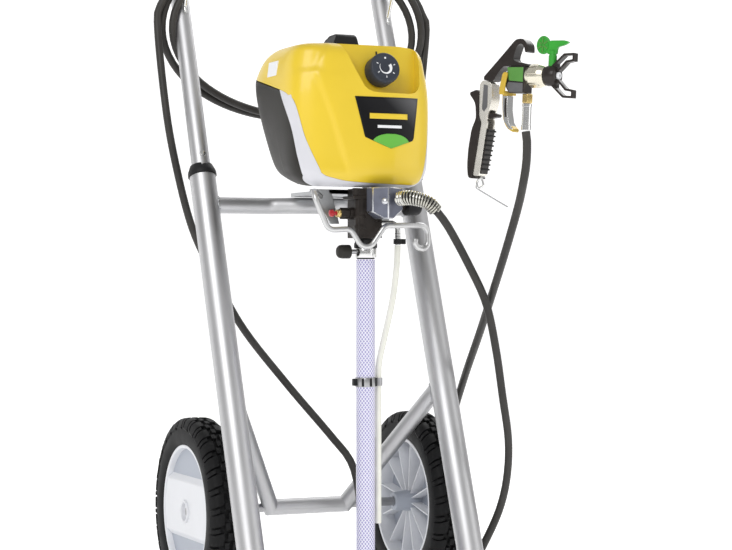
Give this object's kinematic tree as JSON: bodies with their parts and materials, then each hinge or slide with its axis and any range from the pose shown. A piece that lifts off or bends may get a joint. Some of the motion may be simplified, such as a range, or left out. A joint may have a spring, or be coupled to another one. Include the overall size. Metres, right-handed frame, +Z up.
{
  "type": "airless paint sprayer with cart and spray gun",
  "caption": "Airless paint sprayer: boxy pump unit on a leaning two-wheel tubular cart with suction hose, coiled paint hose and a trigger spray gun.",
  "frame": {"origin": "on the floor, at the centre of the footprint of everything but the hoses", "axes": "+Z up, the front of the machine (knob and outlet) faces -Y, the wheels are at the back (+Y)"},
  "size_m": [0.434, 0.6736, 1.0632],
  "materials": {
    "aluminium": "polished tube",
    "chrome": "bright plated",
    "steel": "plain",
    "spring_steel": "bright wire",
    "brass": "machined",
    "dark_metal": "dark satin",
    "black_metal": "dark satin",
    "blue_grey_metal": "satin",
    "yellow_plastic": "semi-gloss",
    "grey_plastic": "satin",
    "dark_plastic": "matt",
    "black_plastic": "matt",
    "knob_plastic": "satin",
    "white_plastic": "satin",
    "red_plastic": "gloss",
    "green_plastic": "satin",
    "gun_plastic": "satin",
    "black_rubber": "matt",
    "tyre_rubber": "matt",
    "hose_rubber": "satin sheath",
    "clear_hose": "translucent, braided",
    "clear_tube": "translucent"
  },
  "bodies": {
    "cart": {"axle": "steel", "bucket_hook": "chrome", "carry_lid": "black_plastic", "collar_left": "black_plastic", "collar_right": "black_plastic", "crossbar": "aluminium", "fluid_tube": "chrome", "foot_left": "black_rubber", "foot_right": "black_rubber", "front_cover": "yellow_plastic", "hose_clip": "chrome", "hose_coil": "hose_rubber", "hose_gun_run": "hose_rubber", "hose_pump_run": "hose_rubber", "leg_left": "aluminium", "leg_right": "aluminium", "lower_brace": "aluminium", "middle_band": "grey_plastic", "motor": "steel", "mount_bracket": "aluminium", "outlet_block": "blue_grey_metal", "prime_valve": "black_metal", "pump_block": "black_metal", "pusher_body": "black_metal", "rear_case": "dark_plastic", "return_fitting": "chrome", "return_tube": "clear_tube", "spring_guard": "spring_steel", "strainer": "black_plastic", "suction_clamp": "black_plastic", "suction_hose": "clear_hose", "suction_nut": "black_plastic", "swivel_nut": "brass"},
    "handle": {"handle_tube": "aluminium", "handle_grip": "black_rubber", "hose_hook_left": "chrome", "hose_hook_right": "chrome"},
    "lock_button_left": {"lock_button_left": "chrome"},
    "lock_button_right": {"lock_button_right": "chrome"},
    "wheel_left": {"rim_left": "white_plastic", "tyre_left": "tyre_rubber"},
    "wheel_right": {"rim_right": "white_plastic", "tyre_right": "tyre_rubber"},
    "pressure_knob": {"pressure_knob": "knob_plastic"},
    "prime_knob": {"prime_knob": "black_plastic"},
    "pusher_button": {"pusher_button": "red_plastic"},
    "motor_pinion": {"motor_pinion": "steel"},
    "drive_gear": {"drive_gear": "grey_plastic"},
    "piston": {"piston": "chrome"},
    "gun": {"gun_body": "dark_metal", "gun_cover": "gun_plastic", "gun_handle": "chrome", "grip_back": "gun_plastic", "collar_nut": "chrome", "guard_wire": "steel"},
    "trigger": {"trigger": "chrome"},
    "trigger_lock": {"trigger_lock": "gun_plastic"},
    "tip_guard": {"tip_guard": "gun_plastic"},
    "spray_tip": {"spray_tip": "green_plastic"}
  },
  "joints": [
    {"name": "handle_slide", "type": "slide", "parent": "cart", "child": "handle", "axis": [0, 0.3558, 0.9346], "range_m": [-0.2, 0]},
    {"name": "lock_left_press", "type": "slide", "parent": "handle", "child": "lock_button_left", "axis": [0, 0.9346, -0.3558], "range_m": [0, 0.002], "stiffness_N_per_m": 600},
    {"name": "lock_right_press", "type": "slide", "parent": "handle", "child": "lock_button_right", "axis": [0, 0.9346, -0.3558], "range_m": [0, 0.002], "stiffness_N_per_m": 600},
    {"name": "wheel_left_spin", "type": "hinge", "parent": "cart", "child": "wheel_left", "pos_m": [0, 0.13983, 0.125], "axis": [1, 0, 0], "continuous": true},
    {"name": "wheel_right_spin", "type": "hinge", "parent": "cart", "child": "wheel_right", "pos_m": [0, 0.13983, 0.125], "axis": [1, 0, 0], "continuous": true},
    {"name": "pressure_turn", "type": "hinge", "parent": "cart", "child": "pressure_knob", "pos_m": [0.0235, -0.04017, 0.7005], "axis": [0, -0.9781, 0.2079], "range_deg": [-135, 135]},
    {"name": "prime_turn", "type": "hinge", "parent": "cart", "child": "prime_knob", "pos_m": [0.058, -0.04817, 0.53], "axis": [1, 0, 0], "range_deg": [0, 90]},
    {"name": "pusher_press", "type": "slide", "parent": "cart", "child": "pusher_button", "axis": [1, 0, 0], "range_m": [0, 0.003], "stiffness_N_per_m": 500},
    {"name": "gear_spin", "type": "hinge", "parent": "cart", "child": "drive_gear", "pos_m": [0.006, -0.01467, 0.64], "axis": [0, -1, 0], "continuous": true},
    {"name": "pinion_spin", "type": "hinge", "parent": "cart", "child": "motor_pinion", "pos_m": [0.006, -0.01167, 0.6745], "axis": [0, -1, 0], "continuous": true},
    {"name": "piston_stroke", "type": "slide", "parent": "cart", "child": "piston", "axis": [0, 0, 1], "range_m": [-0.006, 0]},
    {"name": "gun_swivel", "type": "hinge", "parent": "cart", "child": "gun", "pos_m": [0.1145, -0.27717, 0.679], "axis": [0.027, -0.0449, 0.9986], "range_deg": [-20, 20]},
    {"name": "trigger_pull", "type": "hinge", "parent": "gun", "child": "trigger", "pos_m": [0.1009, -0.25453, 0.68139], "axis": [0.8572, 0.515, 0], "range_deg": [0, 9], "stiffness_Nm_per_rad": 1.5},
    {"name": "trigger_lock_turn", "type": "hinge", "parent": "gun", "child": "trigger_lock", "pos_m": [0.08648, -0.23053, 0.63429], "axis": [0.8572, 0.515, 0], "range_deg": [0, 60]},
    {"name": "tip_guard_turn", "type": "hinge", "parent": "gun", "child": "tip_guard", "pos_m": [0.12993, -0.30285, 0.67743], "axis": [0.5143, -0.856, -0.0523], "range_deg": [-90, 90]},
    {"name": "tip_reverse", "type": "hinge", "parent": "tip_guard", "child": "spray_tip", "pos_m": [0.13121, -0.30499, 0.6773], "axis": [0.027, -0.0449, 0.9986], "range_deg": [0, 180]}
  ],
  "couplings": [
    {"joint": "pinion_spin", "follows": "gear_spin", "ratio": -5.1818}
  ]
}
